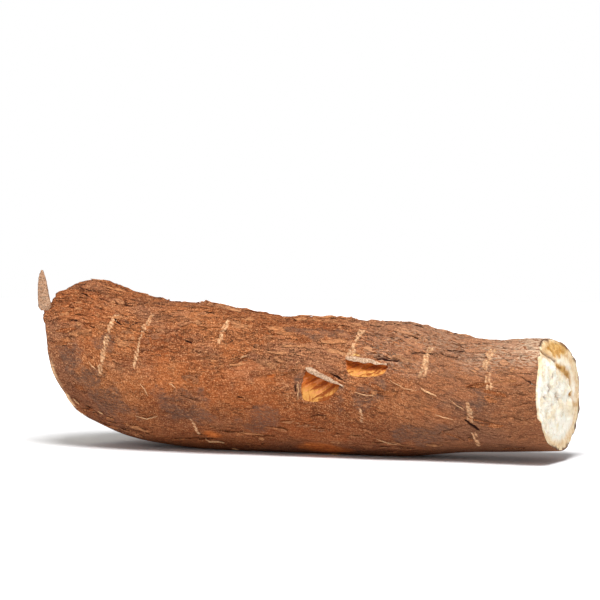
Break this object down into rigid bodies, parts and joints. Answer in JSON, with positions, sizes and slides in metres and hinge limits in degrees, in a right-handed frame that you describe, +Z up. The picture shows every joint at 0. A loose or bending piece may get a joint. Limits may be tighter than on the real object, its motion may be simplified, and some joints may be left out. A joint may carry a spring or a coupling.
{
  "type": "cassava root",
  "caption": "Cut length of cassava root lying on its side: rough brown bark with corky bars, nicks and a torn strip, and pale flesh at both cut ends.",
  "frame": {"origin": "middle of the flat spot on the underside that the root rests on", "axes": "+X along the root towards its thinner cut end, +Z up, -Y the side with the two nicks"},
  "size_m": [0.2526, 0.0707, 0.0842],
  "materials": {
    "bark": "matte",
    "peel": "matte",
    "flesh": "matte"
  },
  "bodies": {
    "root": {"cassava_root": "bark"}
  },
  "joints": []
}
